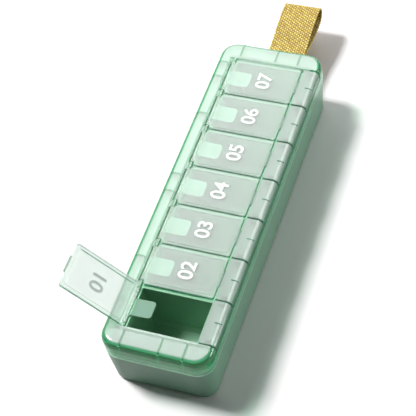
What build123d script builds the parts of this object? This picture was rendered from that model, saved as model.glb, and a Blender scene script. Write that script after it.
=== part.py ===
"""Weekly pill box: seven spring-open lids, seven rocker buttons and a webbing loop."""

import os
from math import radians, tan

from build123d import *

# Row of compartments, along X
day_count = 7
pitch = 25.0
end_rim = 12.0

# Body
body_width = 57.2
body_height = 36.0
corner_radius = 9.0
overrun = 4.0

# Opaque base
joint_drop = 11.3
base_wall = 1.8
base_floor = 1.8
base_draft_degrees = 4.0
base_foot_round = 1.6
base_edge_bevel = 0.4
ledge_height = 3.0
lip_thickness = 1.2
lip_height = 3.3
lip_clearance = 0.2
rail_thickness = 1.2
rail_height = 3.0
rail_length_share = 0.8
rail_clearance = 0.2

# Translucent cover
cover_wall = 1.8
cover_plate = 1.8
cover_edge_round = 3.6
back_rim = 7.6
back_rim_round = 1.7
end_opening_overlap = 0.1
rib_thickness = 1.0
rib_clearance = 0.2
rib_setback = 1.2
end_skirt_thickness = 1.2
end_skirt_clearance = 0.4
back_rib_shares = (0.064, 0.537, 0.841, 0.96)
end_rib_shares = (0.591, -0.105, -0.542)
clip_bead_depth = 0.8
clip_bead_height = 1.4
clip_bead_length = 9.0
clip_clearance = 0.3

# Lids
lid_gap = 0.6
lid_thickness = 2.0
lid_skin = 1.2
lid_flange = 1.9
lid_corner = 0.8
lid_edge_bevel = 0.4
lid_tab_length = 9.0
lid_tab_reach = 0.8
lid_tab_thickness = 1.0
open_lid = 1
open_degrees = 137.0

# Lid hinge
hinge_from_rim = 2.0
hinge_radius = 1.0
hinge_gap = 0.3
knuckle_length = 4.0
hinge_pin_radius = 0.5
hinge_pin_length = 1.1
running_clearance = 0.05
web_drop = 0.15

# Compartment tray
tray_top_drop = 3.2
tray_floor = 1.4
tray_wall = 0.8
tray_divider = 1.2
tray_corner = 1.0
well_inset = 0.3
well_back_inset = 1.3
well_foot = 2.2

# Spring tongues that lift the lids
tongue_width = 9.6
tongue_thickness = 0.9
tongue_drop = 2.4
tongue_reach = 10.9
tongue_corner = 1.8
tongue_bend = 2.4
tongue_leg_from_hinge = 1.0
tongue_leg_length = 14.2
tongue_lift_degrees = 3.0
tongue_clearance = 0.5
socket_depth = 1.9
socket_lip = 1.3
socket_height = 5.5
socket_slack = 0.3

# Rocker buttons
button_depth = 8.5
button_gap = 0.8
button_wall = 1.6
button_round = 3.0
button_height = 5.0
button_edge_bevel = 0.3
latch_gap = 1.1
pivot_from_face = 4.4
pivot_drop = 4.5
pivot_pin_radius = 0.8
pivot_pin_length = 0.9
lug_thickness = 1.6
lug_half_depth = 1.5
lug_gap = 0.3
ear_thickness = 2.4
ear_margin = 1.7
bay_floor_drop = 6.6
bay_floor_thickness = 1.0
bay_wall_thickness = 1.0
bay_wall_drop = 4.5
bay_end_gap = 0.4
sill_drop = 6.2
button_rib_thickness = 0.8
button_rib_height = 1.0
button_rib_length = 4.0
button_groove_width = 0.5
button_groove_depth = 0.4
button_groove_length = 4.4

# Return leaf under each button
leaf_width = 5.0
leaf_thickness = 0.6
leaf_foot = 2.2
leaf_inset = 0.6
leaf_tip_inset = 2.6
leaf_play = 0.1

# Webbing loop and its pin
strap_width = 20.6
strap_thickness = 1.2
strap_shift = -1.2
strap_height_share = 0.7123
strap_reach = 48.5
strap_end_radius = 5.0
strap_neck = 0.95
strap_neck_length = 6.0
strap_pin_radius = 1.0
strap_pin_setback = 5.2
strap_pin_overhang = 2.4
strap_wrap_clearance = 0.05
slot_height = 4.2
slot_slack = 0.6
bracket_thickness = 2.4
bracket_length = 4.4
bracket_gap = 0.5

# Sizes that follow from the ones above
row_length = day_count * pitch
body_length = row_length + 2 * end_rim
half_length = body_length / 2
half_width = body_width / 2
joint_z = body_height - joint_drop
plate_z = body_height - cover_plate
lip_top = joint_z + lip_height
button_face = -half_width
button_inner = button_face + button_depth
lid_front = button_inner + latch_gap
rim_back = half_width - back_rim
hinge_y = rim_back - hinge_from_rim
hinge_z = body_height - lid_thickness / 2
lid_back = hinge_y - hinge_radius - hinge_gap
lid_under = body_height - lid_thickness
lid_length = pitch - lid_gap
barrel_length = pitch - knuckle_length - 2 * hinge_gap
opening_half = row_length / 2 + end_opening_overlap
tray_top = body_height - tray_top_drop
well_front = lid_front + well_inset
well_back = hinge_y - well_back_inset
well_mid = (well_front + well_back) / 2
tray_length = row_length - tray_divider + 2 * tray_wall
tray_front = well_front - tray_wall
tray_back = well_back + tray_wall
tray_mid = (tray_front + tray_back) / 2
well_floor = base_floor + tray_floor
tongue_top = body_height - tongue_drop
leg_y = hinge_y + tongue_leg_from_hinge
leg_bottom = tongue_top - tongue_leg_length
socket_top = leg_bottom + socket_depth - socket_slack
socket_back = leg_y + tongue_thickness / 2 + socket_slack + socket_lip
pivot_y = button_face + pivot_from_face
pivot_z = body_height - pivot_drop
bay_floor_top = body_height - bay_floor_drop
bay_wall_outer = button_inner - bay_wall_thickness / 2
bay_wall_inner = bay_wall_outer + bay_wall_thickness
bay_half = row_length / 2 + bay_end_gap
button_length = pitch - button_gap
cap_under = body_height - button_wall
lug_outer = (pitch - ear_thickness) / 2 - lug_gap
skirt_inner_y = half_width - cover_wall
skirt_inner_x = half_length - cover_wall
end_skirt_x = tray_length / 2 + end_skirt_clearance
clip_z = joint_z + lip_height / 2
strap_z = joint_z * strap_height_share
strap_wall_x = half_length - (joint_z - strap_z) * tan(radians(base_draft_degrees))
strap_pin_x = strap_wall_x - strap_pin_setback
strap_wrap_radius = strap_pin_radius + strap_wrap_clearance + strap_thickness / 2
strap_end_x = strap_wall_x + strap_reach - strap_end_radius - strap_thickness / 2
bracket_inner = strap_width / 2 + bracket_gap
strap_pin_half = bracket_inner + strap_pin_overhang
hinge_axis = Axis((0, hinge_y, hinge_z), (1, 0, 0))
flex_axis = Axis((0, leg_y, socket_top), (1, 0, 0))

days = range(1, day_count + 1)
day_centres = [(day - (day_count + 1) / 2) * pitch for day in days]
boundaries = [(step - day_count / 2) * pitch for step in range(day_count + 1)]
back_ribs = [side * share * row_length / 2 for share in back_rib_shares for side in (-1, 1)]
end_ribs = [share * half_width for share in end_rib_shares]
outer_clip = (back_rib_shares[2] + back_rib_shares[3]) * row_length / 4
back_clips = [-outer_clip, 0, outer_clip]
end_clip = (end_ribs[1] + end_ribs[2]) / 2

os.makedirs("parts", exist_ok=True)


# Opaque base with its lip, strap slot and pin brackets
with BuildPart() as base_case:
    with BuildSketch(Plane.XY.offset(joint_z)):
        RectangleRounded(body_length, body_width, corner_radius)
    extrude(amount=-joint_z, taper=base_draft_degrees)
    fillet(base_case.faces().sort_by(Axis.Z)[0].edges(), radius=base_foot_round)
    chamfer(base_case.faces().sort_by(Axis.Z)[-1].edges(), length=base_edge_bevel)
    with BuildSketch(Plane.XY.offset(joint_z)):
        RectangleRounded(2 * (half_length - base_wall), 2 * (half_width - base_wall), corner_radius - base_wall)
    extrude(amount=base_floor - joint_z, taper=base_draft_degrees, mode=Mode.SUBTRACT)
    # Ledge that carries the lip
    lip_outer_x = skirt_inner_x - lip_clearance
    lip_outer_y = skirt_inner_y - lip_clearance
    lip_corner = corner_radius - cover_wall - lip_clearance
    with BuildSketch(Plane.XY.offset(joint_z - ledge_height)):
        RectangleRounded(
            2 * (half_length - base_wall / 2), 2 * (half_width - base_wall / 2), corner_radius - base_wall / 2
        )
        RectangleRounded(
            2 * (lip_outer_x - lip_thickness), 2 * (lip_outer_y - lip_thickness), lip_corner - lip_thickness,
            mode=Mode.SUBTRACT,
        )
    extrude(amount=ledge_height - base_edge_bevel)
    # Lip that the cover slides over
    with BuildSketch(Plane.XY.offset(joint_z - ledge_height)):
        RectangleRounded(2 * lip_outer_x, 2 * lip_outer_y, lip_corner)
        RectangleRounded(
            2 * (lip_outer_x - lip_thickness), 2 * (lip_outer_y - lip_thickness), lip_corner - lip_thickness,
            mode=Mode.SUBTRACT,
        )
    extrude(amount=ledge_height + lip_height)
    # Windows in the lip for the cover's snap beads
    window_length = clip_bead_length + 2 * clip_clearance
    window_height = clip_bead_height + 2 * clip_clearance
    with Locations([(x, lip_outer_y, clip_z) for x in back_clips]):
        Box(window_length, 2 * overrun, window_height, mode=Mode.SUBTRACT)
    with Locations([(side * lip_outer_x, end_clip, clip_z) for side in (-1, 1)]):
        Box(2 * overrun, window_length, window_height, mode=Mode.SUBTRACT)
    # Rails that hold the tray
    rail_length = tray_length * rail_length_share
    rail_z = base_floor + rail_height / 2
    rail_out = rail_clearance + rail_thickness / 2
    with Locations((0, tray_back + rail_out, rail_z), (0, tray_front - rail_out, rail_z)):
        Box(rail_length, rail_thickness, rail_height)
    # Brackets for the strap pin
    bracket_height = strap_z + 2 * strap_pin_radius - base_floor
    bracket_end = half_length - (joint_z - base_floor) * tan(radians(base_draft_degrees)) - base_wall / 2
    bracket_start = strap_pin_x - bracket_length / 2
    bracket_mid = (bracket_start + bracket_end) / 2
    bracket_span = bracket_end - bracket_start
    bracket_y = bracket_inner + bracket_thickness / 2
    bracket_z = base_floor + bracket_height / 2
    with Locations([(bracket_mid, strap_shift + side * bracket_y, bracket_z) for side in (-1, 1)]):
        Box(bracket_span, bracket_thickness, bracket_height)
    with Locations(Location((strap_pin_x, strap_shift, strap_z), (90, 0, 0))):
        Cylinder(strap_pin_radius + running_clearance, 2 * strap_pin_half, mode=Mode.SUBTRACT)
    # Slot for the strap
    with Locations((strap_wall_x, strap_shift, strap_z)):
        Box(2 * overrun, strap_width + 2 * slot_slack, slot_height, mode=Mode.SUBTRACT)
base_case.part.label = "base_case"
export_step(base_case.part, "parts/base_case.step")


# Tray of seven wells with sockets for the spring tongues
with BuildPart() as inner_tray:
    with BuildSketch(Plane.XY.offset(base_floor)):
        with Locations((0, tray_mid)):
            RectangleRounded(tray_length, tray_back - tray_front, tray_corner)
    extrude(amount=tray_top - base_floor)
    with BuildSketch(Plane.XY.offset(tray_top)):
        with Locations([(x, well_mid) for x in day_centres]):
            Rectangle(pitch - tray_divider, well_back - well_front)
    extrude(amount=well_floor - tray_top, mode=Mode.SUBTRACT)
    chamfer(inner_tray.edges().group_by(Axis.Z)[1], length=well_foot)
    # Sockets that hold the tongue legs
    socket_width = tongue_width + 2 * socket_slack + 2 * socket_lip
    socket_depth_y = socket_back - tray_back + tray_wall / 2
    with Locations([(x, socket_back - socket_depth_y / 2, socket_top - socket_height / 2) for x in day_centres]):
        Box(socket_width, socket_depth_y, socket_height)
    with Locations([(x, leg_y, socket_top) for x in day_centres]):
        Box(
            tongue_width + 2 * socket_slack, tongue_thickness + 2 * socket_slack, 2 * socket_depth,
            mode=Mode.SUBTRACT,
        )
    # Notches that let the tongues into the wells
    notch_drop = tongue_thickness + tongue_clearance + tongue_drop - tray_top_drop
    with Locations([(x, tray_back, tray_top) for x in day_centres]):
        Box(tongue_width + 2 * tongue_clearance, 2 * overrun, 2 * notch_drop, mode=Mode.SUBTRACT)
inner_tray.part.label = "inner_tray"
export_step(inner_tray.part, "parts/inner_tray.step")


# Translucent cover with hinge knuckles, ribs and the button bay
with BuildPart() as top_cover:
    with BuildSketch(Plane.XY.offset(joint_z)):
        RectangleRounded(body_length, body_width, corner_radius)
    extrude(amount=joint_drop)
    fillet(top_cover.faces().sort_by(Axis.Z)[-1].edges(), radius=cover_edge_round)
    with BuildSketch(Plane.XY.offset(joint_z)):
        RectangleRounded(2 * skirt_inner_x, 2 * skirt_inner_y, corner_radius - cover_wall)
    extrude(amount=plate_z - joint_z, mode=Mode.SUBTRACT)
    # Opening for the lids
    with BuildSketch(Plane.XY.offset(plate_z)):
        with Locations((0, (rim_back + button_inner) / 2)):
            Rectangle(2 * opening_half, rim_back - button_inner)
    extrude(amount=cover_plate + overrun, mode=Mode.SUBTRACT)
    rim_edges = top_cover.edges().filter_by(Axis.X).filter_by_position(Axis.Y, rim_back, rim_back)
    fillet(rim_edges.sort_by(Axis.Z)[-1], radius=back_rim_round)
    # Button bay cut out of the front edge
    with BuildSketch(Plane.XY.offset(body_height - sill_drop)):
        with Locations((0, button_face + (button_depth - overrun) / 2)):
            Rectangle(2 * bay_half, button_depth + overrun)
    extrude(amount=sill_drop + overrun, mode=Mode.SUBTRACT)
    # Floor and inner wall of the bay
    bay_depth = bay_wall_inner + skirt_inner_y + cover_wall / 2
    bay_span = 2 * (end_skirt_x + end_skirt_thickness / 2)
    bay_floor_z = bay_floor_top - bay_floor_thickness
    with BuildSketch(Plane.XY.offset(bay_floor_z)):
        with Locations((0, bay_wall_inner - bay_depth / 2)):
            Rectangle(bay_span, bay_depth)
    extrude(amount=bay_floor_thickness)
    with BuildSketch(Plane.XY.offset(bay_floor_z)):
        with Locations((0, (bay_wall_inner + bay_wall_outer) / 2)):
            Rectangle(bay_span, bay_wall_thickness)
    extrude(amount=body_height - bay_wall_drop - bay_floor_z)
    # Skirts round the ends of the tray
    end_skirt_y = rim_back + rib_setback - bay_wall_outer
    end_skirt_mid = (rim_back + rib_setback + bay_wall_outer) / 2
    with BuildSketch(Plane.XY.offset(bay_floor_z)):
        with Locations([(side * (end_skirt_x + end_skirt_thickness / 2), end_skirt_mid) for side in (-1, 1)]):
            Rectangle(end_skirt_thickness, end_skirt_y)
        with Locations(
            [(side * (end_skirt_x + end_skirt_thickness / 2), (bay_wall_outer - skirt_inner_y) / 2) for side in (-1, 1)]
        ):
            Rectangle(end_skirt_thickness, skirt_inner_y + bay_wall_outer + cover_wall)
    extrude(amount=plate_z + cover_plate / 2 - bay_floor_z)
    # Ribs under the rim
    rib_z = lip_top + rib_clearance
    rib_height = plate_z + cover_plate / 2 - rib_z
    rib_in = rim_back + rib_setback
    rib_out = skirt_inner_y + cover_wall / 2
    with BuildSketch(Plane.XY.offset(rib_z)):
        with Locations([(x, (rib_in + rib_out) / 2) for x in back_ribs]):
            Rectangle(rib_thickness, rib_out - rib_in)
        end_in = end_skirt_x + end_skirt_thickness / 2
        end_out = skirt_inner_x + cover_wall / 2
        with Locations([(side * (end_in + end_out) / 2, y) for y in end_ribs for side in (-1, 1)]):
            Rectangle(end_out - end_in, rib_thickness)
    extrude(amount=rib_height)
    # Snap beads on the skirt
    with Locations([(x, skirt_inner_y, clip_z) for x in back_clips]):
        Box(clip_bead_length, 2 * clip_bead_depth, clip_bead_height)
    with Locations([(side * skirt_inner_x, end_clip, clip_z) for side in (-1, 1)]):
        Box(2 * clip_bead_depth, clip_bead_length, clip_bead_height)
    # Hinge knuckles on webs from the rim
    web_top = hinge_z - web_drop
    web_height = web_top - lid_under
    for x in boundaries:
        with Locations((x, (hinge_y + rim_back + rib_setback) / 2, lid_under + web_height / 2)):
            Box(knuckle_length, rim_back + rib_setback - hinge_y, web_height)
        with Locations(Location((x, hinge_y, hinge_z), (0, 90, 0))):
            Cylinder(hinge_radius, knuckle_length)
    for x in boundaries:
        with Locations(Location((x, hinge_y, hinge_z), (0, 90, 0))):
            Cylinder(hinge_pin_radius + running_clearance, knuckle_length, mode=Mode.SUBTRACT)
    # Ears that carry the buttons
    ear_height = pivot_z + ear_margin - bay_floor_z
    for x in boundaries:
        with Locations((x, pivot_y, bay_floor_z + ear_height / 2)):
            Box(ear_thickness, 2 * ear_margin, ear_height)
    for x in boundaries:
        with Locations(Location((x, pivot_y, pivot_z), (0, 90, 0))):
            Cylinder(pivot_pin_radius + running_clearance, ear_thickness, mode=Mode.SUBTRACT)
top_cover.part.label = "top_cover"
export_step(top_cover.part, "parts/top_cover.step")


# Lids: a recessed plate, a hinge barrel with two pins and a latch tab
for day, x in zip(days, day_centres):
    with BuildPart() as lid:
        with BuildSketch(Plane.XY.offset(lid_under)) as plate:
            with Locations((x, (lid_front + lid_back) / 2)):
                Rectangle(lid_length, lid_back - lid_front)
            chamfer(plate.vertices(), length=lid_corner)
        extrude(amount=lid_thickness)
        chamfer(lid.faces().sort_by(Axis.Z)[-1].edges(), length=lid_edge_bevel)
        recess_length = lid_length - 2 * lid_flange
        recess_width = lid_back - lid_front - 2 * lid_flange
        with BuildSketch(Plane.XY.offset(lid_under)) as recess:
            with Locations((x, (lid_front + lid_back) / 2)):
                Rectangle(recess_length, recess_width)
            chamfer(recess.vertices(), length=lid_corner)
        extrude(amount=lid_thickness - lid_skin, mode=Mode.SUBTRACT)
        neck_depth = hinge_y - lid_back + lid_flange / 2
        with Locations((x, hinge_y - neck_depth / 2, hinge_z)):
            Box(barrel_length, neck_depth, 2 * hinge_radius - 2 * lid_edge_bevel)
        with Locations(Location((x, hinge_y, hinge_z), (0, 90, 0))):
            Cylinder(hinge_radius, barrel_length)
            Cylinder(hinge_pin_radius, barrel_length + 2 * hinge_pin_length)
        with Locations((x, lid_front, hinge_z)):
            Box(lid_tab_length, 2 * lid_tab_reach, lid_tab_thickness)
        if day == open_lid:
            opened = lid.part.rotate(hinge_axis, -open_degrees)
            add(opened, mode=Mode.REPLACE)
    lid.part.label = f"lid_{day}"
    export_step(lid.part, f"parts/lid_{day}.step")


# Spring tongues: a leg in the tray's socket, a bend, and a tip under the lid
for day, x in zip(days, day_centres):
    with BuildPart() as tongue:
        tongue_mid = tongue_top - tongue_thickness / 2
        tip_y = well_back - tongue_reach
        with BuildSketch(Plane.YZ.offset(x - tongue_width / 2)):
            with BuildLine():
                Line((leg_y, leg_bottom), (leg_y, tongue_mid - tongue_bend))
                CenterArc((leg_y - tongue_bend, tongue_mid - tongue_bend), tongue_bend, 0, 90)
                Line((leg_y - tongue_bend, tongue_mid), (tip_y, tongue_mid))
            trace(line_width=tongue_thickness)
        extrude(amount=tongue_width)
        tip_edges = tongue.edges().filter_by(Axis.Z).sort_by(Axis.Y)[:2]
        fillet(tip_edges, radius=tongue_corner)
        if day == open_lid:
            lifted = tongue.part.rotate(flex_axis, -tongue_lift_degrees)
            add(lifted, mode=Mode.REPLACE)
    tongue.part.label = f"lid_spring_{day}"
    export_step(tongue.part, f"parts/lid_spring_{day}.step")


# Buttons: a rounded cap on two pivot lugs
for day, x in zip(days, day_centres):
    with BuildPart() as button:
        round_y = button_face + button_round
        round_z = body_height - button_round
        with BuildSketch(Plane.YZ.offset(x - button_length / 2)):
            with BuildLine():
                Line((button_inner, cap_under), (button_inner, body_height))
                Line((button_inner, body_height), (round_y, body_height))
                CenterArc((round_y, round_z), button_round, 90, 90)
                Line((button_face, round_z), (button_face, body_height - button_height))
                Line(
                    (button_face, body_height - button_height),
                    (button_face + button_wall, body_height - button_height),
                )
                Line((button_face + button_wall, body_height - button_height), (button_face + button_wall, round_z))
                Line((button_face + button_wall, round_z), (round_y, cap_under))
                Line((round_y, cap_under), (button_inner, cap_under))
            make_face()
        extrude(amount=button_length)
        end_edges = button.faces().filter_by(Axis.X).edges()
        top_edges = end_edges.filter_by_position(Axis.Z, body_height, body_height)
        chamfer(top_edges, length=button_edge_bevel)
        # Pivot lugs and pins
        for side in (-1, 1):
            lug_x = x + side * (lug_outer - lug_thickness / 2)
            lug_top = cap_under + button_wall / 2
            lug_bottom = pivot_z - lug_half_depth
            with Locations((lug_x, pivot_y, (lug_top + lug_bottom) / 2)):
                Box(lug_thickness, 2 * lug_half_depth, lug_top - lug_bottom)
            pin_x = x + side * (lug_outer + pivot_pin_length / 2)
            with Locations(Location((pin_x, pivot_y, pivot_z), (0, 90, 0))):
                Cylinder(pivot_pin_radius, pivot_pin_length)
        # Groove across the outer half, and the rib under it
        with Locations((x, button_face, body_height)):
            Box(button_groove_width, 2 * button_groove_length, 2 * button_groove_depth, mode=Mode.SUBTRACT)
        with Locations((x, round_y, cap_under - button_rib_height / 2)):
            Box(button_rib_thickness, button_rib_length / 2, button_rib_height + button_wall)
    button.part.label = f"button_{day}"
    export_step(button.part, f"parts/button_{day}.step")


# Return leaves: a flat foot on the bay floor and a rising tip
for day, x in zip(days, day_centres):
    with BuildPart() as leaf:
        leaf_mid = bay_floor_top + leaf_thickness / 2
        foot_start = bay_wall_outer - leaf_inset
        foot_end = foot_start - leaf_foot
        tip_top = cap_under - button_rib_height - button_wall / 2 - leaf_play
        with BuildSketch(Plane.YZ.offset(x - leaf_width / 2)):
            with BuildLine():
                Polyline(
                    (foot_start, leaf_mid), (foot_end, leaf_mid),
                    (button_face + leaf_tip_inset, tip_top - leaf_thickness),
                )
            trace(line_width=leaf_thickness)
        extrude(amount=leaf_width)
    leaf.part.label = f"button_leaf_{day}"
    export_step(leaf.part, f"parts/button_leaf_{day}.step")


# Webbing loop round the pin and out through the slot
with BuildPart() as strap:
    with BuildSketch(Plane.XZ.offset(-strap_shift - strap_width / 2)):
        neck_x = strap_wall_x + strap_neck_length
        with BuildLine():
            CenterArc((strap_pin_x, strap_z), strap_wrap_radius, 90, 180)
            CenterArc((strap_end_x, strap_z), strap_end_radius, 90, -180)
            for side in (-1, 1):
                pin_point = (strap_pin_x, strap_z + side * strap_wrap_radius)
                wall_point = (strap_wall_x, strap_z + side * strap_neck)
                neck_point = (neck_x, strap_z + side * strap_neck)
                end_point = (strap_end_x, strap_z + side * strap_end_radius)
                wrap_point = (Vector(*pin_point) + Vector(*wall_point)) / 2
                leg_point = (Vector(*neck_point) + Vector(*end_point)) / 2
                TangentArc(pin_point, wrap_point, tangent=(1, 0))
                TangentArc(wall_point, wrap_point, tangent=(-1, 0))
                Line(wall_point, neck_point)
                TangentArc(neck_point, leg_point, tangent=(1, 0))
                TangentArc(end_point, leg_point, tangent=(-1, 0))
        make_face()
        hollow = offset(amount=-strap_thickness / 2, mode=Mode.PRIVATE)
        offset(amount=strap_thickness / 2)
        add(hollow, mode=Mode.SUBTRACT)
    extrude(amount=strap_width)
strap.part.label = "strap"
export_step(strap.part, "parts/strap.step")


# Pin that holds the webbing
with BuildPart() as strap_pin:
    with Locations(Location((strap_pin_x, strap_shift, strap_z), (90, 0, 0))):
        Cylinder(strap_pin_radius, 2 * strap_pin_half)
strap_pin.part.label = "strap_pin"
export_step(strap_pin.part, "parts/strap_pin.step")
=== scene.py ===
"""Looks of the weekly pill box: moulded finishes, printed numerals, woven loop, studio and camera."""

import logging
import math
from dataclasses import dataclass, field
from enum import Enum
from typing import Any

import bmesh
import bpy
from mathutils import Matrix, Vector


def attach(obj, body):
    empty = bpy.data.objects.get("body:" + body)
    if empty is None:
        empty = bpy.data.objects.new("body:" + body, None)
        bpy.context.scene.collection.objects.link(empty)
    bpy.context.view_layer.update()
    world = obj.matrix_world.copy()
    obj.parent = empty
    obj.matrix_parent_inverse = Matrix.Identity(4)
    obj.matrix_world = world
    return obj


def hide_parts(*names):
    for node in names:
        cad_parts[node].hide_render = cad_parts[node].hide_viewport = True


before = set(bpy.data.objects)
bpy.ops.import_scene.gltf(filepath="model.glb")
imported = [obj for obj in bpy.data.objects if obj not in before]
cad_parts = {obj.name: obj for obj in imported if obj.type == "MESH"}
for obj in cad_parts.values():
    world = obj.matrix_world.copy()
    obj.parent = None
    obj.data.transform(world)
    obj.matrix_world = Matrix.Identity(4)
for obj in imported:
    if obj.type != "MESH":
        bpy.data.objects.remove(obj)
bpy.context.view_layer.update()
LOG = logging.getLogger("pill_box")

MM = 0.001
DAYS = range(1, 8)
MIDDLE_DAY = 4
PITCH_MM = 25.0
# Hinge axis of the lids: y and z
HINGE_MM = (19.0, 35.0)

Tree = bpy.types.NodeTree
Node = bpy.types.Node
Socket = bpy.types.NodeSocket
Span = tuple[float, float]
Triple = tuple[float, float, float]

# Kinds of node that come up often
MATH = "ShaderNodeMath"
VECTOR_MATH = "ShaderNodeVectorMath"
SEPARATE = "ShaderNodeSeparateXYZ"
MAP_RANGE = "ShaderNodeMapRange"
MIX = "ShaderNodeMix"
NOISE = "ShaderNodeTexNoise"
PRINCIPLED = "ShaderNodeBsdfPrincipled"
# Colour sockets of a mix node, whose names are not unique
MIX_A, MIX_B, MIX_OUT = 6, 7, 2
NOISE_DETAIL = 2.0


class Body(Enum):
    """Names of the moving bodies that pieces ride on."""

    BOX = "box"
    LID = "lid_{}"


class Slot(Enum):
    """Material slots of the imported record."""

    LID = "lid_plastic"
    WEBBING = "webbing"


def linear(code: str) -> tuple[float, float, float, float]:
    """Turns an sRGB hex code into a linear colour.

    Args:
        code: Six hex digits.

    Returns:
        Red, green, blue and alpha, linear.
    """
    channels = [int(code[i:i + 2], 16) / 255 for i in (0, 2, 4)]
    return (*(c / 12.92 if c <= 0.04045 else ((c + 0.055) / 1.055) ** 2.4 for c in channels), 1.0)


def add_node(
    tree: Tree,
    kind: str,
    links: dict[Any, Socket] | None = None,
    values: dict[Any, Any] | None = None,
    **settings: Any,
) -> Node:
    """Adds one node with its settings, socket values and incoming links.

    Args:
        tree: Tree that gets the node.
        kind: Node type.
        links: Input socket to the output socket that feeds it.
        values: Input socket to its constant.
        settings: Properties of the node.

    Returns:
        The new node.
    """
    node = tree.nodes.new(kind)
    for name, value in settings.items():
        setattr(node, name, value)
    for key, value in (values or {}).items():
        node.inputs[key].default_value = value
    for key, socket in (links or {}).items():
        tree.links.new(socket, node.inputs[key])
    return node


def new_material(name: str) -> tuple[bpy.types.Material, Tree, Node]:
    """Starts an empty node material.

    Args:
        name: Name of the material.

    Returns:
        The material, its tree and its output node.
    """
    material = bpy.data.materials.new(name)
    material.use_nodes = True
    tree = material.node_tree
    tree.nodes.clear()
    return material, tree, add_node(tree, "ShaderNodeOutputMaterial")


@dataclass(frozen=True)
class Finish:
    """Named finish whose material is built once and then shared."""

    name: str

    def material(self) -> bpy.types.Material:
        """Builds the material, or finds the one already built.

        Returns:
            The material of the finish.
        """
        if self.name in bpy.data.materials:
            return bpy.data.materials[self.name]
        material, tree, output = new_material(self.name)
        self.fill(tree, add_node(tree, "ShaderNodeTexCoord"), output)
        return material

    def fill(self, tree: Tree, place: Node, output: Node) -> None:
        """Adds the nodes of the finish.

        Args:
            tree: Tree of the material.
            place: Texture coordinates.
            output: Output node that the shader is linked to.
        """
        raise NotImplementedError


@dataclass(frozen=True)
class ClearMoulding(Finish):
    """Injection-moulded polycarbonate with a tint in its mass: clear where thin, deep at the edges, with its
    upright faces painted deep green as painted shade.
    """

    surface: str
    painted_wall_shade: str
    detail: str
    shade: str
    mass: str
    density: float
    transmission: float
    roughness: float
    haze: float = 0.03
    ior: float = 1.585
    gloss: float = 0.3
    flow_mm: float = 7.0
    ripple: float = 0.02
    edge: Span = (0.2, 0.7)

    def fill(self, tree: Tree, place: Node, output: Node) -> None:
        """Adds a tinted clear shader that lets shadow rays through, and the tint of the mass.

        Args:
            tree: Tree of the material.
            place: Texture coordinates.
            output: Output node that the shader is linked to.
        """
        # Slow waves in the surface where the melt flowed
        flow = add_node(
            tree, NOISE, {"Vector": place.outputs["Object"]},
            {"Scale": 1 / (self.flow_mm * MM), "Detail": NOISE_DETAIL},
        ).outputs["Fac"]
        bump = add_node(
            tree, "ShaderNodeBump", {"Height": flow}, {"Strength": self.ripple, "Distance": MM}
        ).outputs["Normal"]
        frost = add_node(
            tree, MAP_RANGE, {"Value": flow},
            {"To Min": self.roughness - self.haze, "To Max": self.roughness + self.haze},
        ).outputs["Result"]
        # Painted shade: upright faces are painted deep green, for the tint seen through their whole height
        # and the shade on them; flat faces show the pale skin, tinted only through their thickness
        facing = add_node(tree, SEPARATE, {0: place.outputs["Normal"]}).outputs["Z"]
        level = add_node(tree, MATH, {0: facing}, operation="ABSOLUTE").outputs[0]
        flat = add_node(
            tree, MAP_RANGE, {"Value": level}, {"From Min": self.edge[0], "From Max": self.edge[1]},
            interpolation_type="SMOOTHSTEP",
        ).outputs["Result"]
        colour = add_node(
            tree, MIX, {"Factor": self.skin_mask(tree, place, flat)},
            {MIX_A: linear(self.painted_wall_shade), MIX_B: linear(self.surface)}, data_type="RGBA",
        ).outputs[MIX_OUT]
        colour = add_node(
            tree, MIX, {"Factor": self.detail_mask(tree, place, flat), MIX_A: colour},
            {MIX_B: linear(self.detail)}, data_type="RGBA",
        ).outputs[MIX_OUT]
        plastic = add_node(
            tree, PRINCIPLED, {"Base Color": colour, "Roughness": frost, "Normal": bump},
            {"Transmission Weight": self.transmission, "IOR": self.ior, "Specular IOR Level": self.gloss},
        ).outputs["BSDF"]
        passing = add_node(
            tree, "ShaderNodeBsdfTransparent", values={"Color": linear(self.shade)}
        ).outputs["BSDF"]
        shadow = add_node(tree, "ShaderNodeLightPath").outputs["Is Shadow Ray"]
        shell = add_node(tree, "ShaderNodeMixShader", {0: shadow, 1: plastic, 2: passing}).outputs["Shader"]
        depth = add_node(
            tree, "ShaderNodeVolumeAbsorption", values={"Color": linear(self.mass), "Density": self.density}
        ).outputs["Volume"]
        tree.links.new(shell, output.inputs["Surface"])
        tree.links.new(depth, output.inputs["Volume"])

    def skin_mask(self, tree: Tree, place: Node, flat: Socket) -> Socket:
        """Marks the faces that show the pale skin.

        Args:
            tree: Tree of the material.
            place: Texture coordinates.
            flat: Socket that is 1 on flat faces.

        Returns:
            Socket that is 1 on the skin and 0 on walls.
        """
        return flat

    def detail_mask(self, tree: Tree, place: Node, flat: Socket) -> Socket:
        """Marks where the moulding shows its detail colour.

        Args:
            tree: Tree of the material.
            place: Texture coordinates.
            flat: Socket that is 1 on flat faces.

        Returns:
            Socket that is 1 on the detail.
        """
        raise NotImplementedError


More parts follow.
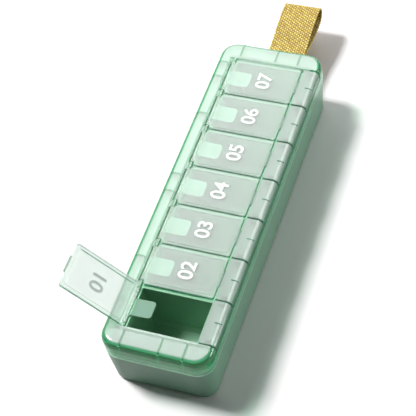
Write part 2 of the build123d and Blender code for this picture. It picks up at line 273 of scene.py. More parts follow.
@dataclass(frozen=True)
class CoverMoulding(ClearMoulding):
    """Cover moulding: painted pale in front of the base's opaque lip as painted light, and painted deeper
    green where ribs and knuckles thicken it as painted shade.

    Places hold for both ends of the box. A rib's three numbers are its middle across the rim and its half
    sizes in x and y.
    """

    lip_top_mm: Span = (28.0, 29.6)
    inner_mm: Span = (92.0, 23.5)
    inner_pale: float = 0.7
    hinge_at_mm: Span = (0.0, 19.0)
    hinge_mm: Span = (87.6, 1.8)
    back_ribs_mm: tuple[float, ...] = (5.6, 47.0, 73.6, 84.0)
    back_rib_mm: Triple = (24.9, 0.5, 3.1)
    end_ribs_mm: tuple[float, ...] = (16.9, -3.0, -15.5)
    end_rib_mm: Triple = (94.2, 4.6, 0.5)
    thick_painted_shade: float = 0.4

    def thick_zones(self) -> list[tuple[Span, Span]]:
        """Lists the places where knuckles or ribs thicken the cover.

        Returns:
            Centre and half sizes of each place in mm, the hinge row first.
        """
        back_y, *back_half = self.back_rib_mm
        end_x, *end_half = self.end_rib_mm
        zones = [(self.hinge_at_mm, self.hinge_mm)]
        zones += [((x, back_y), tuple(back_half)) for x in self.back_ribs_mm]
        zones += [((end_x, y), tuple(end_half)) for y in self.end_ribs_mm]
        return zones

    def skin_mask(self, tree: Tree, place: Node, flat: Socket) -> Socket:
        """Counts the walls round the lids partly as skin, and paints deep green shade where the cover is
        thick.

        Args:
            tree: Tree of the material.
            place: Texture coordinates.
            flat: Socket that is 1 on flat faces.

        Returns:
            Socket that is 1 on the skin and 0 on walls.
        """
        spot = add_node(tree, SEPARATE, {0: place.outputs["Object"]}).outputs
        from_middle = add_node(tree, MATH, {0: spot["X"]}, operation="ABSOLUTE").outputs[0]
        masks = []
        for centre, halves in (((0.0, 0.0), self.inner_mm), *self.thick_zones()):
            spans = [
                add_node(
                    tree, MATH, {0: value}, {1: middle * MM, 2: half * MM}, operation="COMPARE"
                ).outputs[0]
                for value, middle, half in zip((from_middle, spot["Y"]), centre, halves)
            ]
            masks.append(add_node(tree, MATH, dict(enumerate(spans)), operation="MULTIPLY").outputs[0])
        inner, thick, *ribs = masks
        for rib in ribs:
            thick = add_node(tree, MATH, {0: thick, 1: rib}, operation="MAXIMUM").outputs[0]
        walls = add_node(tree, MATH, {0: inner}, {1: self.inner_pale}, operation="MULTIPLY").outputs[0]
        skin = add_node(tree, MATH, {0: flat, 1: walls}, operation="MAXIMUM").outputs[0]
        # Painted shade: where ribs and knuckles thicken the cover, part of the skin gives way to the deep
        # wall colour
        clear = add_node(
            tree, MATH, {0: thick}, {1: -self.thick_painted_shade, 2: 1.0}, operation="MULTIPLY_ADD"
        ).outputs[0]
        return add_node(tree, MATH, {0: skin, 1: clear}, operation="MULTIPLY").outputs[0]

    def detail_mask(self, tree: Tree, place: Node, flat: Socket) -> Socket:
        """Marks the band in front of the lip, which is painted pale as painted light.

        Args:
            tree: Tree of the material.
            place: Texture coordinates.
            flat: Socket that is 1 on flat faces.

        Returns:
            Socket that is 1 on the band.
        """
        # Painted light: the skirt below the top of the lip gets the pale detail colour
        height = add_node(tree, SEPARATE, {0: place.outputs["Object"]}).outputs["Z"]
        low, high = self.lip_top_mm
        return add_node(
            tree, MAP_RANGE, {"Value": height},
            {"From Min": low * MM, "From Max": high * MM, "To Min": 1.0, "To Max": 0.0},
            interpolation_type="SMOOTHSTEP",
        ).outputs["Result"]


@dataclass(frozen=True)
class LidMoulding(ClearMoulding):
    """Lid moulding: a frame with its own tint round a frosted panel, and a deep-set latch tab painted dark as
    painted shade.
    """

    panel_side_mm: Span = (10.1, 10.5)
    panel_near_mm: Span = (3.1, 3.5)
    panel_far_mm: Span = (35.9, 36.3)
    tab_mm: Span = (38.0, 38.1)
    tab_pale: float = 0.25

    def reach(self, tree: Tree, place: Node) -> Socket:
        """Measures the distance from the hinge, which is the same on an open lid.

        Args:
            tree: Tree of the material.
            place: Texture coordinates.

        Returns:
            Socket with the distance in metres.
        """
        axis = (0.0, *(value * MM for value in HINGE_MM))
        arm = add_node(
            tree, VECTOR_MATH, {0: place.outputs["Object"]}, {1: axis}, operation="SUBTRACT"
        ).outputs[0]
        arm = add_node(tree, VECTOR_MATH, {0: arm}, {1: (0.0, 1.0, 1.0)}, operation="MULTIPLY").outputs[0]
        return add_node(tree, VECTOR_MATH, {0: arm}, operation="LENGTH").outputs["Value"]

    def skin_mask(self, tree: Tree, place: Node, flat: Socket) -> Socket:
        """Paints shade on the latch tab: leaves it mostly out of the skin, so that it takes the deep wall
        colour, because it lies deep in its gap.

        Args:
            tree: Tree of the material.
            place: Texture coordinates.
            flat: Socket that is 1 on flat faces.

        Returns:
            Socket that is 1 on the skin and 0 on walls.
        """
        start, end = self.tab_mm
        body = add_node(
            tree, MAP_RANGE, {"Value": self.reach(tree, place)},
            {"From Min": start * MM, "From Max": end * MM, "To Min": 1.0, "To Max": self.tab_pale},
        ).outputs["Result"]
        return add_node(tree, MATH, {0: flat, 1: body}, operation="MULTIPLY").outputs[0]

    def detail_mask(self, tree: Tree, place: Node, flat: Socket) -> Socket:
        """Marks the flat faces of the frame, but hardly the latch tab.

        Args:
            tree: Tree of the material.
            place: Texture coordinates.
            flat: Socket that is 1 on flat faces.

        Returns:
            Socket that is 1 on the frame.
        """
        along = add_node(tree, SEPARATE, {0: place.outputs["Object"]}).outputs["X"]
        aside = add_node(tree, MATH, {0: along}, {1: PITCH_MM * MM / 2}, operation="PINGPONG").outputs[0]
        reach = self.reach(tree, place)
        edges = [
            add_node(
                tree, MAP_RANGE, {"Value": value},
                {"From Min": start * MM, "From Max": end * MM, "To Min": low, "To Max": high},
                interpolation_type="SMOOTHSTEP",
            ).outputs["Result"]
            for value, (start, end), (low, high) in (
                (aside, self.panel_side_mm, (0.0, 1.0)),
                (reach, self.panel_far_mm, (0.0, 1.0)),
                (reach, self.panel_near_mm, (1.0, 0.0)),
            )
        ]
        sides, *ends = edges
        for end in ends:
            sides = add_node(tree, MATH, {0: sides, 1: end}, operation="MAXIMUM").outputs[0]
        faces = add_node(tree, MATH, {0: sides, 1: flat}, operation="MULTIPLY").outputs[0]
        return self.skin_mask(tree, place, faces)


@dataclass(frozen=True)
class ButtonMoulding(ClearMoulding):
    """Button moulding: the groove across its outer half is painted dark green as painted shade."""

    groove_mm: float = 0.3
    groove_end_mm: float = -24.2
    groove_floor_mm: float = 34.9

    def detail_mask(self, tree: Tree, place: Node, flat: Socket) -> Socket:
        """Marks the groove, which is painted dark as painted shade.

        Args:
            tree: Tree of the material.
            place: Texture coordinates.
            flat: Socket that is 1 on flat faces.

        Returns:
            Socket that is 1 in the groove.
        """
        spot = add_node(tree, SEPARATE, {0: place.outputs["Object"]}).outputs
        aside = add_node(tree, MATH, {0: spot["X"]}, {1: PITCH_MM * MM / 2}, operation="PINGPONG").outputs[0]
        inside, outer, upper = (
            add_node(tree, MATH, {0: value}, {1: limit * MM}, operation=test).outputs[0]
            for value, limit, test in (
                (aside, self.groove_mm, "LESS_THAN"),
                (spot["Y"], self.groove_end_mm, "LESS_THAN"),
                (spot["Z"], self.groove_floor_mm, "GREATER_THAN"),
            )
        )
        part = add_node(tree, MATH, {0: inside, 1: outer}, operation="MULTIPLY").outputs[0]
        return add_node(tree, MATH, {0: part, 1: upper}, operation="MULTIPLY").outputs[0]


@dataclass(frozen=True)
class SatinMoulding(Finish):
    """Opaque moulding from a spark-eroded tool: an even satin skin with a fine grain and a faint mottle."""

    colour: str
    mottle: str
    roughness: float
    ior: float
    gloss: float = 0.3
    glow: float = 0.0
    glow_mm: float = 0.5
    mottle_mm: float = 14.0
    sheen_swing: float = 0.04
    grain_mm: float = 0.45
    grain: float = 0.06
    painted_edge_highlight: str = ""
    painted_edge_highlight_mm: Span = (0.0, 0.0)

    def fill(self, tree: Tree, place: Node, output: Node) -> None:
        """Adds a mottled satin shader, with a painted highlight band where the finish has one.

        Args:
            tree: Tree of the material.
            place: Texture coordinates.
            output: Output node that the shader is linked to.
        """
        cloud = add_node(
            tree, NOISE, {"Vector": place.outputs["Object"]},
            {"Scale": 1 / (self.mottle_mm * MM), "Detail": NOISE_DETAIL},
        ).outputs["Fac"]
        skin = add_node(
            tree, MIX, {"Factor": cloud}, {MIX_A: linear(self.colour), MIX_B: linear(self.mottle)},
            data_type="RGBA",
        ).outputs[MIX_OUT]
        if self.painted_edge_highlight:
            # Painted highlight: a pale band along the edge of the joint, standing in for light that its edge
            # catches
            height = add_node(tree, SEPARATE, {0: place.outputs["Object"]}).outputs["Z"]
            low, high = self.painted_edge_highlight_mm
            band = add_node(
                tree, MATH, {0: height}, {1: (low + high) / 2 * MM, 2: (high - low) / 2 * MM},
                operation="COMPARE",
            ).outputs[0]
            skin = add_node(
                tree, MIX, {"Factor": band, MIX_A: skin}, {MIX_B: linear(self.painted_edge_highlight)}, data_type="RGBA"
            ).outputs[MIX_OUT]
        # Eroded grain, drawn at about twice its real size so that it shows
        pits = add_node(
            tree, NOISE, {"Vector": place.outputs["Object"]},
            {"Scale": 1 / (self.grain_mm * MM), "Detail": NOISE_DETAIL},
        ).outputs["Fac"]
        bump = add_node(
            tree, "ShaderNodeBump", {"Height": pits}, {"Strength": self.grain, "Distance": MM}
        ).outputs["Normal"]
        sheen = add_node(
            tree, MAP_RANGE, {"Value": cloud},
            {"To Min": self.roughness - self.sheen_swing, "To Max": self.roughness + self.sheen_swing},
        ).outputs["Result"]
        plastic = add_node(
            tree, PRINCIPLED, {"Base Color": skin, "Roughness": sheen, "Normal": bump},
            {
                "IOR": self.ior,
                "Specular IOR Level": self.gloss,
                "Subsurface Weight": self.glow,
                "Subsurface Scale": self.glow_mm * MM,
            },
        )
        tree.links.new(plastic.outputs["BSDF"], output.inputs["Surface"])


@dataclass(frozen=True)
class WovenYarn(Finish):
    """Spun polyester yarn: soft round highlights and shade that changes from thread to thread."""

    light: str
    dark: str
    fibre_mm: float = 0.25
    fuzz: float = 0.25
    fuzz_mm: float = 0.2
    roughness: float = 0.55
    ior: float = 1.57
    sheen: float = 0.25
    sheen_roughness: float = 0.4

    def fill(self, tree: Tree, place: Node, output: Node) -> None:
        """Adds a fibrous shader that takes its shade from each float.

        Args:
            tree: Tree of the material.
            place: Texture coordinates.
            output: Output node that the shader is linked to.
        """
        shade = add_node(tree, "ShaderNodeAttribute", attribute_name="yarn_shade").outputs["Fac"]
        colour = add_node(
            tree, MIX, {"Factor": shade}, {MIX_A: linear(self.dark), MIX_B: linear(self.light)},
            data_type="RGBA",
        ).outputs[MIX_OUT]
        fibre = add_node(
            tree, NOISE, {"Vector": place.outputs["Object"]},
            {"Scale": 1 / (self.fibre_mm * MM), "Detail": NOISE_DETAIL},
        ).outputs["Fac"]
        bump = add_node(
            tree, "ShaderNodeBump", {"Height": fibre}, {"Strength": self.fuzz, "Distance": self.fuzz_mm * MM}
        ).outputs["Normal"]
        yarn = add_node(
            tree, PRINCIPLED, {"Base Color": colour, "Normal": bump},
            {
                "Roughness": self.roughness,
                "IOR": self.ior,
                "Sheen Weight": self.sheen,
                "Sheen Roughness": self.sheen_roughness,
            },
        )
        tree.links.new(yarn.outputs["BSDF"], output.inputs["Surface"])


@dataclass(frozen=True)
class DrawnSteel(Finish):
    """Drawn steel wire: bright, with fine lines along its length."""

    colour: str
    line_mm: float = 0.3
    line_stretch: float = 0.04
    roughness: Span = (0.22, 0.42)

    def fill(self, tree: Tree, place: Node, output: Node) -> None:
        """Adds a metal shader with lines along the wire, which lies along Y.

        Args:
            tree: Tree of the material.
            place: Texture coordinates.
            output: Output node that the shader is linked to.
        """
        stretch = add_node(
            tree, "ShaderNodeMapping", {"Vector": place.outputs["Object"]},
            {"Scale": (1.0, self.line_stretch, 1.0)},
        ).outputs["Vector"]
        lines = add_node(
            tree, NOISE, {"Vector": stretch}, {"Scale": 1 / (self.line_mm * MM), "Detail": NOISE_DETAIL}
        ).outputs["Fac"]
        rough = add_node(
            tree, MAP_RANGE, {"Value": lines}, {"To Min": self.roughness[0], "To Max": self.roughness[1]}
        ).outputs["Result"]
        steel = add_node(
            tree, PRINCIPLED, {"Roughness": rough}, {"Base Color": linear(self.colour), "Metallic": 1.0}
        )
        tree.links.new(steel.outputs["BSDF"], output.inputs["Surface"])


@dataclass(frozen=True)
class PadPrint(Finish):
    """Pad-printed ink: opaque, slightly uneven where the pad pressed."""

    colour: str
    thin: str
    press_mm: float = 0.8
    press_detail: float = 3.0
    roughness: float = 0.45
    ior: float = 1.5

    def fill(self, tree: Tree, place: Node, output: Node) -> None:
        """Adds an ink shader with thin places.

        Args:
            tree: Tree of the material.
            place: Texture coordinates.
            output: Output node that the shader is linked to.
        """
        press = add_node(
            tree, NOISE, {"Vector": place.outputs["Object"]},
            {"Scale": 1 / (self.press_mm * MM), "Detail": self.press_detail},
        ).outputs["Fac"]
        colour = add_node(
            tree, MIX, {"Factor": press}, {MIX_A: linear(self.colour), MIX_B: linear(self.thin)},
            data_type="RGBA",
        ).outputs[MIX_OUT]
        ink = add_node(
            tree, PRINCIPLED, {"Base Color": colour}, {"Roughness": self.roughness, "IOR": self.ior}
        )
        tree.links.new(ink.outputs["BSDF"], output.inputs["Surface"])


# Wall colours are painted shade and deep tint on upright faces; the cover's detail colour is painted light in
# front of the lip, the button's is painted shade in its groove
COVER_PLASTIC = CoverMoulding(
    "tinted_polycarbonate_cover",
    surface="F7FCFA", painted_wall_shade="1A9A5E", detail="A2E4C4", shade="E8EEEA", mass="46D296",
    density=50.0, transmission=0.67, roughness=0.08, haze=0.02, gloss=0.22, ripple=0.002, edge=(0.88, 0.998),
)
LID_PLASTIC = LidMoulding(
    "frosted_polycarbonate_lid",
    surface="ECF0EE", painted_wall_shade="1F6E48", detail="EBF2EE", shade="DDE3DF", mass="9ADCBE",
    density=50.0, transmission=0.74, roughness=0.19, haze=0.02, gloss=0.07, ripple=0.003,
)
BUTTON_PLASTIC = ButtonMoulding(
    "frosted_polycarbonate_button",
    surface="D8E1DC", painted_wall_shade="3A8F66", detail="4C9A75", shade="B7BDB9", mass="8ADCB8",
    density=80.0, transmission=0.54, roughness=0.13, ripple=0.003,
)
# The base's pale band at the joint is a painted highlight
BASE_PLASTIC = SatinMoulding(
    "satin_abs_sage", "80AC91", "7CA88D", roughness=0.36, ior=1.54, gloss=0.24,
    painted_edge_highlight="D8F2E2", painted_edge_highlight_mm=(24.1, 24.75),
)
TRAY_PLASTIC = SatinMoulding("satin_polypropylene_sage", "8DBA9C", "88B597", roughness=0.40, ior=1.49)
TONGUE_PLASTIC = SatinMoulding(
    "satin_acetal_mint", "84AB95", "80A791", roughness=0.36, ior=1.48, glow=0.3, grain=0.03
)
YARN = WovenYarn("woven_polyester_yarn", light="F7E06C", dark="CDAA36")
# The backing is painted darker than the yarn, as painted shade in the gaps between floats
BACKING_PAINTED_SHADE = WovenYarn("woven_polyester_backing_painted_shade", light="8F6F1F", dark="7C5E17")
PIN_STEEL = DrawnSteel("drawn_steel_pin", "B9BCBE")
INK = PadPrint("pad_printed_ink", "FFFFFF", "F4F7F5")
# Painted shade: grey for the underside of the white print, seen through the lid
INK_UNDERSIDE_PAINTED_SHADE = PadPrint("pad_print_underside_painted_shade", "9FA8A3", "98A19C")


def dress(node: str, finish: Finish) -> None:
    """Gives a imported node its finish.

    Args:
        node: Name of the node.
        finish: Finish that the node gets.
    """
    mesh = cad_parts[node].data
    mesh.materials.clear()
    mesh.materials.append(finish.material())
    LOG.info("%s: %s", node, finish.name)


def new_piece(name: str, mesh: bpy.types.Mesh, finish: Finish) -> bpy.types.Object:
    """Puts a finished mesh into the scene.

    Args:
        name: Name of the piece.
        mesh: Its mesh, already in place.
        finish: Finish that the piece gets.

    Returns:
        The new object.
    """
    mesh.name = name
    mesh.materials.clear()
    mesh.materials.append(finish.material())
    piece = bpy.data.objects.new(name, mesh)
    bpy.context.scene.collection.objects.link(piece)
    LOG.info("%s: %s", name, finish.name)
    return piece


@dataclass
class LowerShell:
    """Opaque base, the tray with the wells and the strap pin."""

    finishes: dict[str, Finish] = field(
        default_factory=lambda: {
            "base_case": BASE_PLASTIC, "inner_tray": TRAY_PLASTIC, "strap_pin": PIN_STEEL
        }
    )

    def build(self) -> None:
        """Dresses the nodes of the lower shell."""
        for node, finish in self.finishes.items():
            dress(node, finish)


@dataclass
class TopFrame:
    """Translucent cover with its rim, knuckles and button bay."""

    node: str = "top_cover"

    def build(self) -> None:
        """Dresses the cover."""
        dress(self.node, COVER_PLASTIC)


@dataclass
class LidRow:
    """Seven frosted lids with a printed numeral on each."""

    top: float = 36.0 * MM
    print_centre: float = -1.3 * MM
    numeral_height: float = 8.0 * MM
    stroke_gain: float = 0.022
    ink_depth: float = 0.04 * MM
    facing_down: float = -0.5
    open_angle: float = 137.0
    open_day: int = 1

    def build(self) -> None:
        """Dresses the lids and prints the numerals."""
        for day in DAYS:
            dress(f"lid_{day}", LID_PLASTIC)
            self.numeral(day)

    def numeral(self, day: int) -> None:
        """Prints one numeral on its lid.

        Args:
            day: Number of the lid, from 1.
        """
        mesh = self.figure(day)
        underside = [face.index for face in mesh.polygons if face.normal.z < self.facing_down]
        along = (day - MIDDLE_DAY) * PITCH_MM * MM
        mesh.transform(Matrix.Translation((along, self.print_centre, self.top)))
        if day == self.open_day:
            mesh.transform(self.opening())
        piece = new_piece(f"numeral_{day}", mesh, INK)
        # Painted shade: seen through the lid, the underside of the white print is painted grey
        mesh.materials.append(INK_UNDERSIDE_PAINTED_SHADE.material())
        for index in underside:
            mesh.polygons[index].material_index = 1
        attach(piece, Body.LID.value.format(day))

    def figure(self, day: int) -> bpy.types.Mesh:
        """Shapes one numeral as a film of ink round the origin.

        Args:
            day: Number to write.

        Returns:
            The numeral's mesh at its real size.
        """
        curve = bpy.data.curves.new(f"numeral_{day}_outline", "FONT")
        curve.body = f"{day:02d}"
        curve.offset = self.stroke_gain
        curve.extrude = self.ink_depth / 2
        writer = bpy.data.objects.new(f"numeral_{day}_outline", curve)
        bpy.context.scene.collection.objects.link(writer)
        depsgraph = bpy.context.evaluated_depsgraph_get()
        mesh = bpy.data.meshes.new_from_object(writer.evaluated_get(depsgraph))
        bpy.data.objects.remove(writer)
        corners = [v.co.copy() for v in mesh.vertices]
        low = Vector([min(c[i] for c in corners) for i in range(3)])
        high = Vector([max(c[i] for c in corners) for i in range(3)])
        scale = self.numeral_height / (high.y - low.y)
        middle = (low + high) / 2
        for vertex in mesh.vertices:
            vertex.co.x = (vertex.co.x - middle.x) * scale
            vertex.co.y = (vertex.co.y - middle.y) * scale
        return mesh

    def opening(self) -> Matrix:
        """Returns the turn that carries a closed lid to its open place."""
        pivot = Matrix.Translation((0.0, *(value * MM for value in HINGE_MM)))
        return pivot @ Matrix.Rotation(math.radians(-self.open_angle), 4, "X") @ pivot.inverted()


@dataclass
class TongueRow:
    """Mint strips that push the lids up."""

    def build(self) -> None:
        """Dresses the strips."""
        for day in DAYS:
            dress(f"lid_spring_{day}", TONGUE_PLASTIC)


@dataclass
class ButtonRow:
    """Rocker buttons and the return leaves under them."""

    def build(self) -> None:
        """Dresses the buttons and leaves."""
        for day in DAYS:
            dress(f"button_{day}", BUTTON_PLASTIC)
            dress(f"button_leaf_{day}", TONGUE_PLASTIC)


@dataclass
class WristLoop:
    """Woven webbing loop: a backing band with yarn floats in slanted rows on both faces."""

    width: float = 20.6 * MM
    backing: float = 0.74 * MM
    backing_inset: float = 0.15 * MM
    shift: float = -1.2 * MM
    level: float = 17.594 * MM
    pin_x: float = 93.803 * MM
    wrap: float = 1.65 * MM
    wall_x: float = 99.003 * MM
    neck: float = 0.95 * MM
    neck_x: float = 105.003 * MM
    end_x: float = 141.903 * MM
    end_radius: float = 5.0 * MM
    flat_length: float = 117.8 * MM
    # Handle of a Bezier quarter circle, in radii
    quarter: float = 0.5523
    steps: int = 16
    sharp_angle: float = 40.0
    rows: int = 66
    ends: int = 17
    slant: float = 0.42
    float_margin: float = 0.9 * MM
    float_sink: float = 0.02 * MM
    float_length: float = 1.62 * MM
    float_width: float = 1.24 * MM
    float_height: float = 0.48 * MM
    float_segments: int = 8
    float_rings: int = 5
    shade_seed: int = 4

    def knots(self) -> list[tuple[Vector, Vector, float, float]]:
        """Lists the loop's knots clockwise from behind the pin.

        Returns:
            Place, direction, handle before and handle after of each knot.
        """
        wrap_in = self.quarter * self.wrap
        end_in = self.quarter * self.end_radius
        inside = (self.wall_x - self.pin_x) / 2
        straight = (self.neck_x - self.wall_x) / 3
        leg = (self.end_x - self.neck_x) / 2
        upper = [
            (self.pin_x, self.wrap, wrap_in, inside),
            (self.wall_x, self.neck, inside, straight),
            (self.neck_x, self.neck, straight, leg),
            (self.end_x, self.end_radius, leg, end_in),
        ]
        along, up = Vector((1, 0, 0)), Vector((0, 0, 1))
        knots = [(Vector((self.pin_x - self.wrap, self.shift, self.level)), up, wrap_in, wrap_in)]
        for x, z, before, after in upper:
            knots.append((Vector((x, self.shift, self.level + z)), along, before, after))
        tip = Vector((self.end_x + self.end_radius, self.shift, self.level))
        knots.append((tip, -up, end_in, end_in))
        for x, z, before, after in reversed(upper):
            knots.append((Vector((x, self.shift, self.level - z)), -along, after, before))
        return knots

    def path(self) -> bpy.types.Object:
        """Draws the centre line of the loop.

        Returns:
            The line as a closed curve.
        """
        curve = bpy.data.curves.new("strap_path", "CURVE")
        curve.dimensions = "3D"
        spline = curve.splines.new("BEZIER")
        knots = self.knots()
        spline.bezier_points.add(len(knots) - 1)
        for point, (place, way, before, after) in zip(spline.bezier_points, knots):
            point.handle_left_type = point.handle_right_type = "FREE"
            point.co = place
            point.handle_left = place - way * before
            point.handle_right = place + way * after
        spline.use_cyclic_u = True
        spline.resolution_u = self.steps
        line = bpy.data.objects.new("strap_path", curve)
        bpy.context.scene.collection.objects.link(line)
        return line

    def build(self) -> None:
        """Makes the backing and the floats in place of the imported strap."""
        line = self.path()
        backing = self.backing_band(line)
        floats = self.floats(line)
        bpy.data.objects.remove(line)
        for piece in (backing, floats):
            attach(piece, Body.BOX.value)
        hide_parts("strap")

    def backing_band(self, line: bpy.types.Object) -> bpy.types.Object:
        """Sweeps the band under the floats along the centre line.

        Args:
            line: Closed centre line.

        Returns:
            The band.
        """
        depsgraph = bpy.context.evaluated_depsgraph_get()
        outline = bpy.data.meshes.new_from_object(line.evaluated_get(depsgraph))
        points = [v.co.copy() for v in outline.vertices]
        bpy.data.meshes.remove(outline)
        side = Vector((0, 1, 0))
        half_width = self.width / 2 - self.backing_inset
        half_depth = self.backing / 2
        corners = [
            (-half_width, half_depth), (half_width, half_depth),
            (half_width, -half_depth), (-half_width, -half_depth),
        ]
        shape = bmesh.new()
        rings = []
        for index, point in enumerate(points):
            way = (points[(index + 1) % len(points)] - points[index - 1]).normalized()
            out = way.cross(side)
            rings.append([shape.verts.new(point + side * across + out * depth) for across, depth in corners])
        for index, ring in enumerate(rings):
            after = rings[(index + 1) % len(rings)]
            for corner in range(len(corners)):
                following = (corner + 1) % len(corners)
                shape.faces.new((ring[corner], ring[following], after[following], after[corner]))
        bmesh.ops.recalc_face_normals(shape, faces=shape.faces)
        mesh = bpy.data.meshes.new("strap_backing")
        shape.to_mesh(mesh)
        shape.free()
        for polygon in mesh.polygons:
            polygon.use_smooth = True
        mesh.set_sharp_from_angle(angle=math.radians(self.sharp_angle))
        return new_piece("strap_backing", mesh, BACKING_PAINTED_SHADE)

    def floats(self, line: bpy.types.Object) -> bpy.types.Object:
        """Lays the yarn floats along the centre line.

        Args:
            line: Closed centre line.

        Returns:
            The floats as one mesh.
        """
        tree = self.weave_tree()
        modifier = line.modifiers.new("weave", "NODES")
        modifier.node_group = tree
        sizes = {
            "Rows": self.rows,
            "Ends": self.ends,
            "End spacing": (self.width - self.float_margin) / (self.ends - 1),
            "Slant": self.slant,
            "Face": self.backing / 2 - self.float_sink,
            "Float length": self.float_length,
            "Float width": self.float_width,
            "Float height": self.float_height,
            "Yarn": YARN.material(),
        }
        for socket in tree.interface.items_tree:
            if socket.name in sizes:
                modifier[socket.identifier] = sizes[socket.name]
        depsgraph = bpy.context.evaluated_depsgraph_get()
        mesh = bpy.data.meshes.new_from_object(line.evaluated_get(depsgraph))
        line.modifiers.remove(modifier)
        return new_piece("strap_floats", mesh, YARN)

    def weave_tree(self) -> Tree:
        """Builds the tree that sets floats in slanted rows on both faces of the band.

        Returns:
            The node tree, with named inputs for its sizes.
        """
        tree = bpy.data.node_groups.new("webbing_weave", "GeometryNodeTree")
        inputs = {
            "Path": "NodeSocketGeometry", "Rows": "NodeSocketInt", "Ends": "NodeSocketInt",
            "End spacing": "NodeSocketFloat", "Slant": "NodeSocketFloat", "Face": "NodeSocketFloat",
            "Float length": "NodeSocketFloat", "Float width": "NodeSocketFloat",
            "Float height": "NodeSocketFloat", "Yarn": "NodeSocketMaterial",
        }
        for name, kind in inputs.items():
            tree.interface.new_socket(name, in_out="INPUT", socket_type=kind)
        tree.interface.new_socket("Webbing", in_out="OUTPUT", socket_type="NodeSocketGeometry")
        given = add_node(tree, "NodeGroupInput").outputs
        per_face = add_node(tree, MATH, {0: given["Rows"], 1: given["Ends"]}, operation="MULTIPLY").outputs[0]
        # Both faces
        count = add_node(tree, MATH, {0: per_face}, {1: 2.0}, operation="MULTIPLY").outputs[0]
        points = add_node(tree, "GeometryNodePoints", {"Count": count})
        index = add_node(tree, "GeometryNodeInputIndex").outputs[0]
        # Which face, row and end of the band each point is on
        face = add_node(tree, MATH, {0: index, 1: per_face}, operation="DIVIDE").outputs[0]
        face = add_node(tree, MATH, {0: face}, operation="FLOOR").outputs[0]
        inner = add_node(tree, MATH, {0: index, 1: per_face}, operation="MODULO").outputs[0]
        row = add_node(tree, MATH, {0: inner, 1: given["Ends"]}, operation="DIVIDE").outputs[0]
        row = add_node(tree, MATH, {0: row}, operation="FLOOR").outputs[0]
        end = add_node(tree, MATH, {0: inner, 1: given["Ends"]}, operation="MODULO").outputs[0]
        # Each end lies a share of a row further on than the one beside it
        lean = add_node(tree, MATH, {0: end, 1: given["Slant"], 2: row}, operation="MULTIPLY_ADD").outputs[0]
        lean = add_node(tree, MATH, {0: lean, 1: given["Rows"]}, operation="MODULO").outputs[0]
        along = add_node(tree, MATH, {0: lean, 1: given["Rows"]}, operation="DIVIDE").outputs[0]
        sample = add_node(
            tree, "GeometryNodeSampleCurve", {"Curves": given["Path"], "Factor": along}, mode="FACTOR"
        )
        place, way = sample.outputs["Position"], sample.outputs["Tangent"]
        out = add_node(tree, VECTOR_MATH, {0: way}, {1: (0, 1, 0)}, operation="CROSS_PRODUCT").outputs[0]
        last = add_node(tree, MATH, {0: given["Ends"]}, {1: 1.0}, operation="SUBTRACT").outputs[0]
        middle = add_node(tree, MATH, {0: last}, {1: 0.5}, operation="MULTIPLY").outputs[0]
        across = add_node(tree, MATH, {0: end, 1: middle}, operation="SUBTRACT").outputs[0]
        across = add_node(tree, MATH, {0: across, 1: given["End spacing"]}, operation="MULTIPLY").outputs[0]
        sideways = add_node(tree, "ShaderNodeCombineXYZ", {"Y": across}).outputs[0]
        # The first face counts as 1 and the second as -1
        turn = add_node(tree, MATH, {0: face}, {1: -2.0, 2: 1.0}, operation="MULTIPLY_ADD").outputs[0]
        depth = add_node(tree, MATH, {0: turn, 1: given["Face"]}, operation="MULTIPLY").outputs[0]
        raised = add_node(tree, VECTOR_MATH, {0: out, "Scale": depth}, operation="SCALE").outputs[0]
        spot = add_node(tree, VECTOR_MATH, {0: place, 1: sideways}, operation="ADD").outputs[0]
        spot = add_node(tree, VECTOR_MATH, {0: spot, 1: raised}, operation="ADD").outputs[0]
        placed = add_node(tree, "GeometryNodeSetPosition", {"Geometry": points.outputs[0], "Position": spot})
        shade = add_node(
            tree, "FunctionNodeRandomValue", {"ID": index}, {"Seed": self.shade_seed}, data_type="FLOAT"
        ).outputs[1]
        shaded = add_node(
            tree, "GeometryNodeStoreNamedAttribute", {"Geometry": placed.outputs[0], "Value": shade},
            {"Name": "yarn_shade"}, data_type="FLOAT", domain="POINT",
        )
        # Sphere one unit across, stretched to the float's sizes below
        float_body = add_node(
            tree, "GeometryNodeMeshUVSphere",
            values={"Segments": self.float_segments, "Rings": self.float_rings, "Radius": 0.5},
        )
        smooth = add_node(tree, "GeometryNodeSetShadeSmooth", {"Geometry": float_body.outputs["Mesh"]})
        facing = add_node(
            tree, "FunctionNodeAxesToRotation", {"Primary Axis": way, "Secondary Axis": out},
            primary_axis="X", secondary_axis="Z",
        )
        size = add_node(
            tree, "ShaderNodeCombineXYZ",
            {"X": given["Float length"], "Y": given["Float width"], "Z": given["Float height"]},
        ).outputs[0]
        laid = add_node(
            tree, "GeometryNodeInstanceOnPoints",
            {
                "Points": shaded.outputs[0], "Instance": smooth.outputs[0],
                "Rotation": facing.outputs[0], "Scale": size,
            },
        )
        real = add_node(tree, "GeometryNodeRealizeInstances", {"Geometry": laid.outputs[0]})
        yarn = add_node(
            tree, "GeometryNodeSetMaterial", {"Geometry": real.outputs[0], "Material": given["Yarn"]}
        )
        add_node(tree, "NodeGroupOutput", {0: yarn.outputs[0]})
        return tree


@dataclass(frozen=True)
class Lamp:
    """Square lamp that faces the box, with its distance and side in metres and its power in watts."""

    name: str
    way: Triple
    distance: float
    size: float
    power: float
    gloss_only: bool = False

    def build(self) -> None:
        """Hangs the lamp."""
        light = bpy.data.lights.new(self.name, "AREA")
        light.size = self.size
        light.energy = self.power
        lamp = bpy.data.objects.new(self.name, light)
        toward = Vector(self.way).normalized()
        lamp.location = toward * self.distance
        lamp.rotation_euler = toward.to_track_quat("Z", "Y").to_euler()
        if self.gloss_only:
            lamp.visible_diffuse = False
            lamp.visible_transmission = False
        bpy.context.scene.collection.objects.link(lamp)


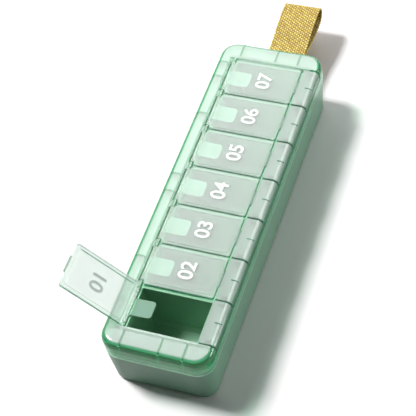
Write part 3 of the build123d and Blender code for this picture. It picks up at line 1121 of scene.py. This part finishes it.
@dataclass
class Studio:
    """White floor, four lamps, a pale world and the camera at the photograph's viewpoint."""

    lamps: tuple[Lamp, ...] = (
        Lamp("key_light", (3.0, 21.7, 33.0), distance=1.6, size=0.34, power=26.0),
        Lamp("top_light", (36.0, 9.0, 28.0), distance=0.38, size=0.38, power=0.48),
        Lamp("side_light", (8.0, -30.0, 3.0), distance=1.3, size=0.4, power=7.5),
        # Shows only as a gloss on the rounded edges of the button side
        Lamp("strip_light", (22.0, -14.0, 34.0), distance=0.75, size=0.5, power=3.9, gloss_only=True),
    )
    ambient: float = 0.04
    floor_half: float = 2.0
    floor_matt: Triple = (0.45, 0.45, 0.45)
    floor_seen: Triple = (1.12, 1.09, 1.105)
    eye: Triple = (-0.38635, -0.20896, 0.60764)
    right: Triple = (0.32156163, -0.93744686, -0.1333848)
    up: Triple = (0.78874111, 0.18724272, 0.58551484)
    back: Triple = (-0.52391371, -0.29348519, 0.79961295)
    lens: float = 122.64
    sensor: float = 36.0
    clip_start: float = 0.01

    def build(self) -> None:
        """Sets the view transform and makes floor, lamps, world and camera."""
        bpy.context.scene.view_settings.view_transform = "Standard"
        self.floor()
        for lamp in self.lamps:
            lamp.build()
        self.world()
        self.camera()

    def seen(self, tree: Tree) -> Socket:
        """Makes a switch that is on for rays that show the background.

        Args:
            tree: Tree that gets the switch.

        Returns:
            Socket that is 1 for camera, glossy and transmission rays.
        """
        ray = add_node(tree, "ShaderNodeLightPath").outputs
        either = add_node(
            tree, MATH, {0: ray["Is Camera Ray"], 1: ray["Is Glossy Ray"]}, operation="MAXIMUM"
        ).outputs[0]
        return add_node(
            tree, MATH, {0: either, 1: ray["Is Transmission Ray"]}, operation="MAXIMUM"
        ).outputs[0]

    def floor(self) -> None:
        """Lays the pale floor, which shows white and keeps the shadow."""
        half = self.floor_half
        corners = [(-half, -half, 0), (half, -half, 0), (half, half, 0), (-half, half, 0)]
        mesh = bpy.data.meshes.new("floor")
        mesh.from_pydata(corners, [], [(0, 1, 2, 3)])
        material, tree, output = new_material("white_paper_sweep")
        matt, bright = (
            add_node(tree, "ShaderNodeBsdfDiffuse", values={"Color": (*colour, 1.0)}).outputs[0]
            for colour in (self.floor_matt, self.floor_seen)
        )
        mix = add_node(tree, "ShaderNodeMixShader", {0: self.seen(tree), 1: matt, 2: bright})
        tree.links.new(mix.outputs[0], output.inputs["Surface"])
        mesh.materials.append(material)
        floor = bpy.data.objects.new("floor", mesh)
        bpy.context.scene.collection.objects.link(floor)

    def world(self) -> None:
        """Makes an even pale world that shows white and lights weakly."""
        world = bpy.data.worlds.new("studio_world")
        bpy.context.scene.world = world
        world.use_nodes = True
        tree = world.node_tree
        tree.nodes.clear()
        dim, white = (
            add_node(
                tree, "ShaderNodeBackground", values={"Color": (1, 1, 1, 1), "Strength": strength}
            ).outputs[0]
            for strength in (self.ambient, 1.0)
        )
        mix = add_node(tree, "ShaderNodeMixShader", {0: self.seen(tree), 1: dim, 2: white})
        add_node(tree, "ShaderNodeOutputWorld", {"Surface": mix.outputs[0]})

    def camera(self) -> None:
        """Sets the camera at the photograph's viewpoint."""
        lens = bpy.data.cameras.new("camera")
        lens.lens = self.lens
        lens.sensor_width = self.sensor
        lens.sensor_fit = "HORIZONTAL"
        lens.clip_start = self.clip_start
        eye = bpy.data.objects.new("camera", lens)
        turn = Matrix((self.right, self.up, self.back)).transposed()
        eye.matrix_world = Matrix.Translation(self.eye) @ turn.to_4x4()
        bpy.context.scene.collection.objects.link(eye)
        bpy.context.scene.camera = eye


def main() -> None:
    """Builds the studio and every sub-assembly in order."""
    logging.basicConfig(level=logging.INFO, format="%(name)s %(message)s")
    for part in (Studio(), LowerShell(), TopFrame(), LidRow(), TongueRow(), ButtonRow(), WristLoop()):
        LOG.info("building %s", type(part).__name__)
        part.build()


if __name__ == "__main__":
    main()
